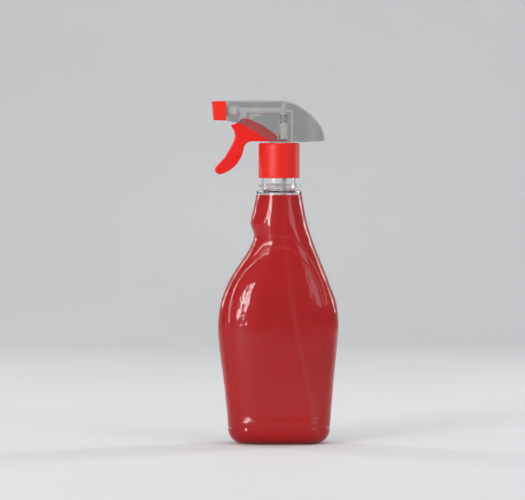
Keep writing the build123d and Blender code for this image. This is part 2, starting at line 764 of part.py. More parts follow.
with BuildPart() as nozzle_seal:
    with BuildSketch(Plane.XZ):
        with Locations((SEAL_X, BARREL_Z + SEAL_GROOVE + SEAL_HEIGHT / 2)):
            RectangleRounded(2 * SEAL_WIRE, SEAL_HEIGHT, 0.3)
    revolve(axis=Axis((0, 0, BARREL_Z), (1, 0, 0)))
write(nozzle_seal.part, "nozzle_seal")

with BuildPart() as trigger_pin:
    with Locations(Location((PIVOT_X, 0, PIVOT_Z), (90, 0, 0))):
        Cylinder(PIN_RADIUS, 2 * PIN_HALF)
    chamfer(trigger_pin.edges().filter_by(GeomType.CIRCLE), 0.2)
write(trigger_pin.part, "trigger_pin")

# Spring: the end coils lie close together and the middle ones are open.
with BuildPart() as return_spring:
    with BuildLine() as coil:
        low, high = SPRING_SEAT_Z + SPRING_WIRE + 0.02, SHELF_Z - SPRING_WIRE - 0.02
        points = []
        for i in range(SPRING_STEPS + 1):
            u = i / SPRING_STEPS
            turn = 2 * math.pi * SPRING_TURNS * u
            rise = u - SPRING_EASE * math.sin(2 * math.pi * u)
            points.append(
                (
                    PUMP_X + SPRING_RADIUS * math.cos(turn),
                    SPRING_RADIUS * math.sin(turn),
                    low + (high - low) * rise,
                )
            )
        Spline(*points)
    with BuildSketch(Plane(origin=coil.line @ 0, z_dir=coil.line % 0)):
        Circle(SPRING_WIRE)
    sweep(is_frenet=True)
write(return_spring.part, "return_spring")

# ============================================================================================
# Moving parts of the pump
# ============================================================================================

with BuildPart() as pump_cylinder:
    with Locations((PUMP_X, 0, CYLINDER_FOOT_Z)):
        Cylinder(
            CYLINDER_RADIUS,
            CYLINDER_TOP_Z - CYLINDER_FOOT_Z,
            align=LOW,
        )
    chamfer(pump_cylinder.edges().group_by(Axis.Z)[-1], 0.25)
    with Locations((PUMP_X, 0, TAIL_FOOT_Z)):
        Cylinder(TAIL_RADIUS, CYLINDER_FOOT_Z - TAIL_FOOT_Z, align=LOW)
    with Locations((PUMP_X - EAR_FRONT, 0, CYLINDER_FOOT_Z)):
        Box(EAR_FRONT + EAR_REAR, 2 * EAR_HALF, EAR_THICK, align=(Align.MIN, Align.CENTER, Align.MIN))
    with Locations((PUMP_X, 0, SPRING_SEAT_Z)):
        Cylinder(SPRING_POCKET, 10, align=LOW, mode=Mode.SUBTRACT)
    with Locations((PUMP_X, 0, CAGE_Z)):
        Cylinder(CHAMBER_RADIUS, 12, align=LOW, mode=Mode.SUBTRACT)
    with Locations((PUMP_X, 0, TAIL_FOOT_Z - 1)):
        Cylinder(
            TUBE_RADIUS,
            CAGE_Z - CAGE_THICK - TAIL_FOOT_Z + 1,
            align=LOW,
            mode=Mode.SUBTRACT,
        )
    with BuildSketch(Plane.XY.offset(CAGE_Z - CAGE_THICK - 0.1)):
        with Locations((PUMP_X, 0)):
            Rectangle(2 * TUBE_RADIUS - 0.2, 1.1)
            Rectangle(1.1, 2 * TUBE_RADIUS - 0.2)
    extrude(amount=CAGE_THICK + 0.2, mode=Mode.SUBTRACT)
write(pump_cylinder.part, "pump_cylinder")

with BuildPart() as inlet_seat:
    with Locations((PUMP_X, 0, SEAT_FOOT_Z)):
        Cylinder(TUBE_RADIUS, SEAT_TOP_Z - SEAT_FOOT_Z, align=LOW)
        Cylinder(
            SEAT_BORE,
            SEAT_TOP_Z - SEAT_FOOT_Z,
            align=LOW,
            mode=Mode.SUBTRACT,
        )
write(inlet_seat.part, "inlet_seat")

for label, radius, seat_z, seat_radius in [
    ("inlet_ball", INLET_BALL, SEAT_TOP_Z, SEAT_BORE),
    ("outlet_ball", OUTLET_BALL, STEM_TOP_Z, STEM_BORE),
]:
    with BuildPart() as ball:
        height = math.sqrt((radius + RUB_GAP) ** 2 - seat_radius**2)
        with Locations((PUMP_X, 0, seat_z + height)):
            Sphere(radius)
    write(ball.part, label)


with BuildPart() as dip_tube:
    with BuildLine():
        add(tube_path(0.0, 0.0))
    with BuildSketch(Plane(origin=(PUMP_X, 0, TUBE_TOP_Z), z_dir=(0, 0, -1))):
        Circle(TUBE_RADIUS)
        Circle(TUBE_BORE, mode=Mode.SUBTRACT)
    sweep()
    with BuildSketch(Plane.XZ):
        end_x, end_z = TUBE_BENDS[-1]
        Polygon(
            (end_x - 3, end_z + 1.6),
            (end_x + 3, end_z - 0.4),
            (end_x + 3, end_z - 4),
            (end_x - 3, end_z - 4),
            align=None,
        )
    extrude(amount=5, both=True, mode=Mode.SUBTRACT)
write(dip_tube.part, "dip_tube")

# ============================================================================================
# Trigger
# ============================================================================================

with BuildSketch(Plane.XZ) as trigger_side:
    with BuildLine():
        Spline(*TRIGGER_FRONT)
        Spline(*TRIGGER_TIP)
        Spline(*TRIGGER_REAR)
        Polyline(*TRIGGER_ARM)
        Spline(*TRIGGER_TOP)
    make_face()

with BuildPart() as trigger_ribs:
    extrude(trigger_side.sketch, amount=TRIGGER_HALF - TRIGGER_WALL + 0.1, both=True)
    with BuildSketch(Plane.XZ):
        with Locations(*TRIGGER_RIBS):
            Rectangle(16, RIB_THICK)
    extrude(amount=TRIGGER_HALF, both=True, mode=Mode.INTERSECT)

with BuildPart() as prong:
    with BuildSketch(Plane.XZ):
        with Locations((PUMP_X, FORK_TOP_Z - CROWN_RADIUS)):
            Circle(CROWN_RADIUS)
        Polygon(
            (FORK_SLOT_X - 2, FORK_FOOT_Z),
            (PUMP_X, FORK_FOOT_Z),
            (PUMP_X + 0.6, FORK_TOP_Z - 0.5),
            (FORK_SLOT_X - 2, FORK_TOP_Z - 0.5),
            align=None,
        )
    extrude(amount=TRIGGER_HALF - FORK_INNER)

# The trigger is a U-section: a front skin, two cheeks, ribs, hub bosses and the fork. The rims
# the finger touches are rounded; the fork's straight edges stay square.
with BuildPart() as trigger:
    extrude(trigger_side.sketch, amount=TRIGGER_HALF, both=True)
    for side in (-TRIGGER_HALF, TRIGGER_HALF):
        rims = trigger.edges().filter_by_position(Axis.Y, side - 0.01, side + 0.01)
        fillet(rims.filter_by(lambda edge: edge.center().Z < TRIGGER_ROUND_TOP), TRIGGER_ROUND)
    with BuildSketch(Plane.XZ):
        Polygon(*TRIGGER_HOLLOW, align=None)
    extrude(amount=TRIGGER_HALF - TRIGGER_WALL, both=True, mode=Mode.SUBTRACT)
    add(trigger_ribs.part)
    with Locations((FORK_SLOT_X, 0, FORK_FOOT_Z)):
        Box(
            20,
            2 * FORK_INNER,
            10,
            align=(Align.MIN, Align.CENTER, Align.CENTER),
            mode=Mode.SUBTRACT,
        )
    add(prong.part.moved(Location((0, TRIGGER_HALF, 0))))
    add(prong.part.moved(Location((0, -FORK_INNER, 0))))
    for way in (-1, 1):
        foot = (PIVOT_X, way * (BRACKET_HALF + SIDE_GAP), PIVOT_Z)
        with Locations(Location(foot, (-90 * way, 0, 0))):
            Cylinder(LUG_RADIUS, TRIGGER_HALF - BRACKET_HALF - SIDE_GAP, align=LOW)
    with Locations(Location((PIVOT_X, 0, PIVOT_Z), (90, 0, 0))):
        Cylinder(PIN_RADIUS + PIN_GAP, 30, mode=Mode.SUBTRACT)
write(trigger.part, "trigger")

# ============================================================================================
# Nozzle
# ============================================================================================

with BuildPart() as nozzle:
    half = NOZZLE_SIDE / 2
    with BuildSketch(Plane.XZ):
        Polygon(
            (NOZZLE_REAR_X, BARREL_Z - half),
            (NOZZLE_REAR_X, BARREL_Z + half),
            (NOZZLE_FRONT_X, BARREL_Z + half - NOZZLE_DRAFT),
            (NOZZLE_FRONT_X + NOZZLE_SLANT, BARREL_Z - half + NOZZLE_DRAFT),
            align=None,
        )
    extrude(amount=half, both=True)
    fillet(nozzle.edges().filter_by(lambda e: e.center().X < NOZZLE_REAR_X - 1), 1.0)
    # hollow behind the face, round the inner sleeve
    with BuildPart(mode=Mode.PRIVATE) as hollow:
        with Locations((NOZZLE_REAR_X, 0, BARREL_Z)):
            Box(
                NOZZLE_HOLLOW,
                NOZZLE_SIDE - 2 * NOZZLE_WALL,
                NOZZLE_SIDE - 2 * NOZZLE_WALL,
                align=(Align.MAX, Align.CENTER, Align.CENTER),
            )
        fillet(hollow.edges().filter_by(Axis.X), 1.0)
        with Locations(Location((NOZZLE_REAR_X, 0, BARREL_Z), (0, -90, 0))):
            Cylinder(
                SLEEVE_RADIUS,
                NOZZLE_HOLLOW,
                align=LOW,
                mode=Mode.SUBTRACT,
            )
    add(hollow.part, mode=Mode.SUBTRACT)
    with BuildSketch(Plane.XZ):
        Polygon(
            (NOZZLE_REAR_X + 1, BARREL_Z),
            (NOZZLE_REAR_X + 1, BARREL_Z + NOZZLE_BORE),
            (BEAD_X + 0.8, BARREL_Z + NOZZLE_BORE),
            (BEAD_X + 0.3, BARREL_Z + BEAD_RADIUS + BEAD_GAP),
            (BEAD_X - 0.3, BARREL_Z + BEAD_RADIUS + BEAD_GAP),
            (BEAD_X - 0.8, BARREL_Z + NOZZLE_BORE),
            (SOCKET_FRONT_X - 0.3, BARREL_Z + NOZZLE_BORE),
            (SOCKET_FRONT_X - 0.3, BARREL_Z + ORIFICE),
            (NOZZLE_FRONT_X + DISH_DEPTH, BARREL_Z + ORIFICE),
            (NOZZLE_FRONT_X + DISH_DEPTH, BARREL_Z + DISH_RADIUS - 0.6),
            (NOZZLE_FRONT_X - 1, BARREL_Z + DISH_RADIUS + 0.4),
            (NOZZLE_FRONT_X - 1, BARREL_Z),
            align=None,
        )
    revolve(axis=Axis((0, 0, BARREL_Z), (1, 0, 0)), mode=Mode.SUBTRACT)
write(nozzle.part, "nozzle")
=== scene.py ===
"""Looks for the trigger spray bottle: surfaces, liquid, spring and studio round the CAD frame.

Metres, in the CAD frame: +Z up, the nozzle points towards -X, the neck axis is X = Y = 0.
"""

import math

import bpy
import numpy as np
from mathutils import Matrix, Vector


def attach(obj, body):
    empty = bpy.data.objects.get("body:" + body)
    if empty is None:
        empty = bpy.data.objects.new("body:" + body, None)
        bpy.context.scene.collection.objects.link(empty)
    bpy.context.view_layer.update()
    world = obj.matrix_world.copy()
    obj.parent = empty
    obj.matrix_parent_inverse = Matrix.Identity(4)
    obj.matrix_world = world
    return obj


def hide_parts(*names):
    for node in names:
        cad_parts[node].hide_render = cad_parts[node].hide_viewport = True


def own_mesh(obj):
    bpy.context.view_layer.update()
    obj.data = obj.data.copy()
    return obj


MM = 0.001
GRAIN = 0.02 * MM
PUMP_X = 3.83

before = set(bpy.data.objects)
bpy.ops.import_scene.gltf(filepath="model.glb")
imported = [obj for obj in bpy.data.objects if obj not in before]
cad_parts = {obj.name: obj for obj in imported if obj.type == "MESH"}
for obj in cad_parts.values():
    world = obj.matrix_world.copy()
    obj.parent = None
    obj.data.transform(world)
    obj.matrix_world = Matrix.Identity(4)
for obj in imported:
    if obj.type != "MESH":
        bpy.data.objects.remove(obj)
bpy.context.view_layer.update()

# ---------------------------------------------------------------------------------------------
# Node materials
# ---------------------------------------------------------------------------------------------

# (height, x) along the dip tube, in metres, and the spans that its curve node covers, for the
# painted light band in the liquid
TUBE_COURSE = [(0.010, 0.0279), (0.043, 0.0222), (0.093, 0.0120), (0.150, 0.0050), (0.186, 0.00383)]
TUBE_TOP = 0.2
TUBE_REACH = 0.05


class Nodes:
    """A material's node tree, built a node at a time."""

    def __init__(self, name):
        self.material = bpy.data.materials.new(name)
        self.material.use_nodes = True
        self.tree = self.material.node_tree
        self.tree.nodes.clear()
        self.output = self.tree.nodes.new("ShaderNodeOutputMaterial")
        self.place = self.tree.nodes.new("ShaderNodeTexCoord").outputs["Object"]

    def add(self, kind, inputs=None, **settings):
        node = self.tree.nodes.new(kind)
        for key, value in settings.items():
            setattr(node, key, value)
        for key, value in (inputs or {}).items():
            if isinstance(value, bpy.types.NodeSocket):
                self.tree.links.new(value, node.inputs[key])
            else:
                node.inputs[key].default_value = value
        return node

    def noise(self, scale, detail=3.0, stretch=(1, 1, 1)):
        """Noise over the object, its size set in features per metre."""
        spread = self.add("ShaderNodeMapping", {"Vector": self.place, "Scale": stretch})
        return self.add(
            "ShaderNodeTexNoise",
            {"Vector": spread.outputs[0], "Scale": scale, "Detail": detail, "Roughness": 0.55},
        ).outputs[0]

    def between(self, factor, low, high, ends=(0.3, 0.7)):
        """A number or colour that runs from low to high as the factor crosses its ends."""
        if isinstance(low, (int, float)):
            spans = {"From Min": ends[0], "From Max": ends[1], "To Min": low, "To Max": high}
            return self.add("ShaderNodeMapRange", {"Value": factor, **spans}).outputs[0]
        ramp = self.add("ShaderNodeValToRGB", {"Fac": factor})
        for stop, colour, position in zip(ramp.color_ramp.elements, (low, high), ends):
            stop.color = (*colour, 1.0)
            stop.position = position
        return ramp.outputs[0]

    def bump(self, height, strength, distance):
        return self.add(
            "ShaderNodeBump", {"Height": height, "Strength": strength, "Distance": distance}
        ).outputs[0]

    def surface(self, **inputs):
        """Finishes with a Principled surface; underscores in the names stand for spaces."""
        named = {key.replace("_", " "): value for key, value in inputs.items()}
        shader = self.add("ShaderNodeBsdfPrincipled", named)
        self.tree.links.new(shader.outputs[0], self.output.inputs["Surface"])
        return self.material


def moulded_plastic(name, low, high, rough, **more):
    """Injection-moulded plastic: faint cloudiness, uneven polish and a fine grain."""
    n = Nodes(name)
    cloud = n.noise(26.0, 1.5)
    fine = n.noise(1400.0, 2.0)
    return n.surface(
        Base_Color=n.between(cloud, low, high),
        Roughness=n.between(n.noise(240.0), rough[0], rough[1]),
        Normal=n.bump(fine, 0.08, GRAIN),
        **more,
    )


def clear_plastic():
    """Blow-moulded PET: clear, with the slow waves of a blown wall."""
    n = Nodes("clear_bottle")
    waves = n.noise(34.0, 1.5, (1.0, 1.0, 0.55))
    ripples = n.noise(150.0, 2.0, (1.0, 1.0, 0.6))
    joined = n.add("ShaderNodeMath", {0: waves, 1: ripples}, operation="ADD")
    return n.surface(
        Base_Color=n.between(waves, (0.95, 0.96, 0.96), (0.99, 0.99, 0.99)),
        Roughness=n.between(ripples, 0.012, 0.045),
        Transmission_Weight=1.0,
        IOR=1.33,
        Normal=n.bump(joined.outputs[0], 0.4, 0.0012),
    )


def painted_tube_band(n):
    """Painted light: how far a pale band painted into the liquid's colour lightens it in front of
    the dip tube, which lies in the plane Y = 0.
    """
    place = n.add("ShaderNodeSeparateXYZ", {"Vector": n.place}).outputs
    share = n.add("ShaderNodeMapRange", {"Value": place["Z"], "From Max": TUBE_TOP})
    curve = n.add("ShaderNodeFloatCurve", {"Value": share.outputs[0]})
    points = curve.mapping.curves[0].points
    points[0].location = (0.0, TUBE_COURSE[0][1] / TUBE_REACH)
    points[1].location = (1.0, TUBE_COURSE[-1][1] / TUBE_REACH)
    for z, x in TUBE_COURSE:
        points.new(z / TUBE_TOP, x / TUBE_REACH)
    curve.mapping.update()

    def combine(operation, *values):
        return n.add("ShaderNodeMath", dict(enumerate(values)), operation=operation).outputs[0]

    beside = combine("ADD", combine("MULTIPLY", curve.outputs[0], -TUBE_REACH), place["X"])
    band = n.between(combine("ABSOLUTE", beside), 0.17, 0.0, (0.0012, 0.0026))
    above_end = n.between(place["Z"], 0.0, 1.0, (0.008, 0.013))
    faded_high = n.between(place["Z"], 1.0, 0.35, (0.09, 0.13))
    return combine("MULTIPLY", combine("MULTIPLY", band, above_end), faded_high)


def red_liquid():
    """Red cleaning liquid: dense dye, with a faint painted light band where the dip tube lies
    behind it.
    """
    n = Nodes("red_liquid")
    cloud = n.noise(14.0, 2.0)
    tube = painted_tube_band(n)
    dye = n.between(cloud, (0.60, 0.004, 0.006), (0.66, 0.008, 0.010))
    # painted light: the dye is mixed towards pale red in a band in front of the dip tube; the tube
    # itself is not seen through the liquid
    dye_with_painted_band = n.add(
        "ShaderNodeMix", {"Factor": tube, "A": dye, "B": (0.72, 0.12, 0.12, 1)}, data_type="RGBA"
    )
    return n.surface(
        Base_Color=dye_with_painted_band.outputs["Result"],
        Alpha=n.between(cloud, 0.86, 0.90),
        Roughness=n.between(cloud, 0.18, 0.26),
        IOR=1.34,
        Specular_IOR_Level=0.12,
    )


def frosted(name, low, high, alpha, rough):
    """Thin smoky plastic that what lies behind it shows through."""
    n = Nodes(name)
    cloud = n.noise(45.0)
    return n.surface(
        Base_Color=n.between(cloud, low, high),
        Alpha=n.between(n.noise(90.0), alpha[0], alpha[1]),
        Roughness=n.between(n.noise(200.0), rough[0], rough[1]),
        Normal=n.bump(n.noise(1800.0, 2.0), 0.25, GRAIN),
        Specular_IOR_Level=0.5,
    )


def metal(name, low, high, rough):
    n = Nodes(name)
    drawn = n.noise(900.0, 3.0, (1.0, 1.0, 6.0))
    return n.surface(
        Base_Color=n.between(drawn, low, high),
        Metallic=1.0,
        Roughness=n.between(drawn, rough[0], rough[1]),
    )


def rubber(name, low, high):
    n = Nodes(name)
    return n.surface(
        Base_Color=n.between(n.noise(400.0), low, high),
        Roughness=n.between(n.noise(700.0), 0.6, 0.85),
        Normal=n.bump(n.noise(2500.0), 0.4, 2 * GRAIN),
    )


WHITE = ((0.80, 0.80, 0.77), (0.86, 0.86, 0.83))
SHEEN = {"Specular_IOR_Level": 0.32}
materials = {
    "closure": moulded_plastic(
        "closure_red", (0.66, 0.008, 0.004), (0.74, 0.012, 0.005), (0.36, 0.48), **SHEEN
    ),
    "trigger": moulded_plastic(
        "trigger_red", (0.70, 0.006, 0.004), (0.75, 0.009, 0.005), (0.26, 0.36), **SHEEN
    ),
    "nozzle": moulded_plastic(
        "nozzle_red", (0.74, 0.014, 0.005), (0.80, 0.019, 0.007), (0.30, 0.42), **SHEEN
    ),
    "pump_body": moulded_plastic("white_frame", *WHITE, (0.35, 0.5)),
    "pump_cylinder": moulded_plastic("white_cylinder", *WHITE, (0.32, 0.46)),
    "valve_plug": moulded_plastic("white_plug", *WHITE, (0.35, 0.5)),
    "discharge_stem": moulded_plastic("white_stem", *WHITE, (0.35, 0.5)),
    "swirl_insert": moulded_plastic("white_insert", *WHITE, (0.35, 0.5)),
    "inlet_seat": moulded_plastic("white_seat", *WHITE, (0.35, 0.5)),
    "piston_cup": moulded_plastic(
        "cup_plastic", (0.50, 0.51, 0.50), (0.58, 0.59, 0.58), (0.3, 0.4)
    ),
    "shroud": frosted(
        "smoky_shroud", (0.12, 0.13, 0.127), (0.15, 0.162, 0.158), (0.22, 0.26), (0.16, 0.26)
    ),
    "dip_tube": frosted(
        "milky_tube", (0.80, 0.80, 0.78), (0.88, 0.88, 0.86), (0.34, 0.42), (0.25, 0.4)
    ),
    "neck_gasket": rubber("gasket_foam", (0.40, 0.40, 0.39), (0.48, 0.48, 0.47)),
    "stem_seal": rubber("seal_rubber", (0.03, 0.03, 0.03), (0.06, 0.06, 0.06)),
    "nozzle_seal": rubber("seal_ring_rubber", (0.03, 0.03, 0.03), (0.06, 0.06, 0.06)),
    "trigger_pin": metal("pin_steel", (0.50, 0.50, 0.50), (0.62, 0.62, 0.61), (0.25, 0.4)),
    "inlet_ball": metal("ball_steel", (0.55, 0.55, 0.55), (0.65, 0.65, 0.65), (0.08, 0.16)),
    "outlet_ball": metal("ball_steel_small", (0.55, 0.55, 0.55), (0.65, 0.65, 0.65), (0.08, 0.16)),
}
for name, material in materials.items():
    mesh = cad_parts[name].data
    mesh.materials.clear()
    mesh.materials.append(material)

# ---------------------------------------------------------------------------------------------
# Bottle and liquid, as rings of points up the neck's axis
# ---------------------------------------------------------------------------------------------

COLUMNS = 320
WALL = 0.8
FLOOR = 2.4
SKIN = 0.05  # how far the liquid reaches into the wall, so that no air gap shows
HEEL = 11.0
HEEL_LINE = 12.8
# the hollow under the base: its depth, and distances inwards from the base's outline
HOLLOW_DEPTH = 3.5
HOLLOW_MIDDLE = 22.3
HOLLOW_EDGE = 19.5
HOLLOW_SLOPE = 4.0
SHOULDER = 189.0
# height, reach to the front, reach to the rear, half depth, squareness (2 is an ellipse)
SECTIONS = np.array(
    [
        (0.0, 38.4, 38.5, 22.8, 2.7),
        (16.0, 39.0, 39.1, 23.6, 2.7),
        (34.0, 40.6, 40.5, 24.6, 2.7),
        (52.0, 42.7, 42.0, 25.4, 2.7),
        (71.0, 45.2, 43.9, 26.0, 2.7),
        (89.0, 46.4, 45.2, 26.0, 2.7),
        (106.0, 44.4, 43.7, 25.2, 2.65),
        (121.5, 38.9, 38.3, 23.6, 2.55),
        (134.0, 31.6, 33.4, 21.8, 2.45),
        (146.5, 23.4, 28.3, 20.2, 2.35),
        (157.0, 19.2, 24.5, 19.2, 2.25),
        (167.5, 21.6, 21.3, 18.6, 2.15),
        (178.0, 19.4, 19.2, 17.9, 2.05),
        (189.0, 17.2, 17.2, 17.2, 2.0),
    ]
)
# The label panel: an inner arch, and an outer one that leaves it over the top
INNER_ARCH = [
    (-30.5, 19.5), (-33.5, 24.0), (-38.4, 60.0), (-39.2, 88.0), (-38.4, 101.0), (-36.0, 115.2),
    (-28.1, 129.9), (-18.6, 139.4), (-10.8, 146.6), (0.0, 150.0), (10.0, 147.6), (16.5, 142.0),
    (24.5, 134.0), (31.0, 121.5), (36.0, 104.0), (37.6, 88.0), (36.8, 60.0), (33.5, 24.0),
    (30.5, 19.5),
]
OUTER_ARCH = [
    (-32.5, 17.0), (-35.3, 23.0), (-40.2, 60.0), (-41.2, 88.0), (-40.4, 101.5), (-37.8, 116.4),
    (-30.2, 131.4), (-21.0, 141.8), (-12.5, 151.4), (-5.0, 157.0), (3.0, 158.8), (11.5, 156.0),
    (17.5, 150.6), (24.0, 142.0), (32.8, 123.5), (37.8, 104.6), (39.4, 88.0), (38.6, 60.0),
    (35.3, 23.0), (32.5, 17.0),
]


def smooth_line(points, steps):
    """Points along a Catmull-Rom curve through the given ones."""
    p = np.array(points, float)
    p = np.vstack([2 * p[0] - p[1], p, 2 * p[-1] - p[-2]])
    out = []
    for i in range(1, len(p) - 2):
        for t in np.linspace(0, 1, steps, endpoint=False):
            out.append(
                0.5
                * (
                    2 * p[i]
                    + (p[i + 1] - p[i - 1]) * t
                    + (2 * p[i - 1] - 5 * p[i] + 4 * p[i + 1] - p[i + 2]) * t**2
                    + (3 * p[i] - p[i - 1] - 3 * p[i + 1] + p[i + 2]) * t**3
                )
            )
    out.append(p[-2])
    return np.array(out)


FINE_SECTIONS = smooth_line(SECTIONS, 16)


def section(z):
    """Front reach, rear reach, half depth and squareness at a height."""
    return [np.interp(z, FINE_SECTIONS[:, 0], FINE_SECTIONS[:, i]) for i in range(1, 5)]


def depth_inside(x, z, outline):
    """Distance from each point into a closed outline, negative outside it."""
    a = smooth_line(outline, 5)
    b = np.roll(a, -1, axis=0)
    nearest = np.full(x.shape, 1e9)
    inside = np.zeros(x.shape, bool)
    for (ax, az), (bx, bz) in zip(a, b):
        dx, dz = bx - ax, bz - az
        t = np.clip(((x - ax) * dx + (z - az) * dz) / (dx * dx + dz * dz + 1e-12), 0, 1)
        nearest = np.minimum(nearest, np.hypot(x - ax - t * dx, z - az - t * dz))
        if az != bz:
            crosses = (az > z) != (bz > z)
            inside ^= crosses & (x < ax + (z - az) * dx / dz)
    return np.where(inside, nearest, -nearest)


def step(value, width):
    t = np.clip(value / width, 0, 1)
    return t * t * (3 - 2 * t)


def ring(z_level, height, inset, panelled=True):
    """One ring of points: the section at z_level, shrunk by inset and set at a height."""
    front, rear, half_depth, power = section(z_level)
    angles = 2 * math.pi * np.arange(COLUMNS) / COLUMNS
    c, s = np.cos(angles), np.sin(angles)
    a, b = (front + rear) / 2, half_depth
    x = a * np.sign(c) * np.abs(c) ** (2 / power)
    y = b * np.sign(s) * np.abs(s) ** (2 / power)
    nx = np.sign(c) * np.abs(x / a) ** (power - 1) / a
    ny = np.sign(s) * np.abs(y / b) ** (power - 1) / b
    length = np.hypot(nx, ny)
    nx, ny = nx / length, ny / length
    x = x + (rear - front) / 2
    sink = 0.45 * math.exp(-(((z_level - HEEL_LINE) / 0.9) ** 2))
    if panelled:
        outer = depth_inside(x, np.full(x.shape, z_level), OUTER_ARCH)
        inner = depth_inside(x, np.full(x.shape, z_level), INNER_ARCH)
        sink += 0.5 * step(outer, 1.2) + 0.65 * step(inner, 1.3)
    # large insets shrink towards the middle, so that the rings of the base never cross
    near = min(inset, 1.5)
    x, y = x - nx * (near + sink), y - ny * (near + sink)
    if inset > near:
        shrink_x, shrink_y = 1 - (inset - near) / a, 1 - (inset - near) / b
        x, y = x * max(shrink_x, 0.02), y * max(shrink_y, 0.02)
    return np.stack([x, y, np.full(x.shape, height)], axis=1)


def circle(radius, height):
    angles = 2 * math.pi * np.arange(COLUMNS) / COLUMNS
    return np.stack(
        [radius * np.cos(angles), radius * np.sin(angles), np.full(COLUMNS, height)], axis=1
    )


def body_rings(inset, foot):
    """Rings from the middle of the base, out over the heel and up to the shoulder."""
    rings = []
    for i in range(1, 9):
        reach = HOLLOW_MIDDLE + 0.8 * inset - 0.35 * i
        rings.append(ring(0.0, foot + HOLLOW_DEPTH, reach, False))
    for i in range(9):
        t = i / 8
        reach = HOLLOW_EDGE - HOLLOW_SLOPE * t + 0.5 * inset
        rings.append(ring(0.0, foot + HOLLOW_DEPTH * (1 - step(t, 1.0)), reach, False))
    heel = HEEL - inset
    for i in range(1, 25):
        angle = math.pi / 2 * i / 24
        z = heel * (1 - math.cos(angle))
        rings.append(ring(z + foot, z + foot, inset + heel * (1 - math.sin(angle)), False))
    for z in np.arange(heel + foot + 0.4, 16.0, 0.3):
        rings.append(ring(z, z, inset))
    for z in np.arange(16.2, SHOULDER - 0.01, 0.8):
        rings.append(ring(z, z, inset))
    return rings


def closed_mesh(name, rings, material, body, node):
    """A closed surface through the rings, with a point at each end."""
    rows = len(rings)
    points = np.vstack([rings[0].mean(0)[None], *rings, rings[-1].mean(0)[None]])
    last = len(points) - 1
    faces = []
    for c in range(COLUMNS):
        d = (c + 1) % COLUMNS
        faces.append((0, 1 + d, 1 + c))
        faces.append((last, last - COLUMNS + c, last - COLUMNS + d))
        for r in range(rows - 1):
            low, high = 1 + r * COLUMNS, 1 + (r + 1) * COLUMNS
            faces.append((low + c, low + d, high + d, high + c))
    mesh = bpy.data.meshes.new(name)
    mesh.from_pydata((points * MM).tolist(), [], faces)
    mesh.validate()
    mesh.polygons.foreach_set("use_smooth", [True] * len(mesh.polygons))
    mesh.materials.append(material)
    piece = bpy.data.objects.new(name, mesh)
    bpy.context.scene.collection.objects.link(piece)
    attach(piece, body)
    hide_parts(node)
    return piece


def arc(centre, radius, start, end, steps):
    """(radius, height) points of an arc, its angles in degrees."""
    return [
        (centre[0] + radius * math.cos(a), centre[1] + radius * math.sin(a))
        for a in np.radians(np.linspace(start, end, steps))
    ]


# (radius, height) up the outside of the neck, over the mouth and down its bore
NECK = [
    (17.15, 189.4), *arc((14.3, 190.2), 2.8, 0, 70, 10), (13.1, 193.0), (12.65, 193.7),
    (12.6, 194.5), (13.0, 194.6), (16.0, 194.65), *arc((16.2, 195.2), 0.5, -80, 0, 5),
    *arc((16.2, 195.8), 0.5, 0, 80, 5), (13.2, 196.3), (12.7, 196.5), (12.6, 197.2),
    (12.6, 207.0), (12.6, 218.0), *arc((12.1, 218.3), 0.5, 0, 90, 5), (11.2, 218.8),
    (10.8, 218.4), (10.8, 197.0), (10.8, 195.0), (10.9, 193.6), (11.6, 192.8), (13.6, 191.6),
    (15.2, 190.6), (16.2, 189.6),
]
# (distance in from the outline, height) across the liquid's surface, from its raised edge inwards
LIQUID_TOP = 188.4
LIQUID_SURFACE = [
    (0.75, 188.7), (0.9, 188.75), (1.2, 188.5), (2.2, 188.35), (4.0, 188.3), (9.0, 188.3),
    (15.0, 188.3),
]
clear = clear_plastic()
inner_rings = body_rings(WALL, FLOOR)
bottle_rings = body_rings(0.0, 0.0) + [circle(r, z) for r, z in NECK] + inner_rings[::-1]
closed_mesh("bottle_wall", bottle_rings, clear, "bottle", "bottle")

liquid_rings = [r for r in body_rings(WALL - SKIN, FLOOR - SKIN) if r[0, 2] < 188.5]
liquid_rings += [ring(LIQUID_TOP, z, inset, False) for inset, z in LIQUID_SURFACE]
closed_mesh("liquid_fill", liquid_rings, red_liquid(), "bottle", "liquid")

# ---------------------------------------------------------------------------------------------
# Coils: the neck's thread and the return spring
# ---------------------------------------------------------------------------------------------


def coil(name, path, profile, material, body, node):
    """A profile of (outwards, up) points swept along (angle, radius, height, scale) stations."""
    points, faces = [], []
    count = len(profile)
    for angle, radius, height, scale, centre_x in path:
        for out, up in profile:
            r = radius + out * scale
            place = (centre_x + r * math.cos(angle), r * math.sin(angle), height + up * scale)
            points.append(tuple(MM * value for value in place))
    for i in range(len(path) - 1):
        for j in range(count):
            k = (j + 1) % count
            a, b = i * count, (i + 1) * count
            faces.append((a + j, b + j, b + k, a + k))
    faces.append(tuple(range(count)))
    faces.append(tuple(range(len(points) - 1, len(points) - count - 1, -1)))
    mesh = bpy.data.meshes.new(name)
    mesh.from_pydata(points, [], faces)
    mesh.polygons.foreach_set("use_smooth", [True] * len(mesh.polygons))
    mesh.materials.append(material)
    piece = bpy.data.objects.new(name, mesh)
    bpy.context.scene.collection.objects.link(piece)
    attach(piece, body)
    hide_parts(node)
    return piece


THREAD_FOOT = 209.0
THREAD_RISE = 6.35
THREAD_TURNS = 1.5
THREAD_ROOT = 12.5
THREAD_STEPS = 180

thread_path = []
for i in range(THREAD_STEPS + 1):
    t = i / THREAD_STEPS
    run_out = min(1.0, t * 14 + 0.15, (1 - t) * 14 + 0.15)
    turned = 2 * math.pi * THREAD_TURNS * t
    thread_path.append((turned, THREAD_ROOT, THREAD_FOOT + THREAD_RISE * t, run_out, 0.0))
thread_profile = [
    (0.0, -1.15), (0.6, -0.95), (1.1, -0.6), (1.2, 0.0), (1.1, 0.6), (0.6, 0.95), (0.0, 1.15)
]
coil("neck_thread", thread_path, thread_profile, clear, "bottle", "bottle")

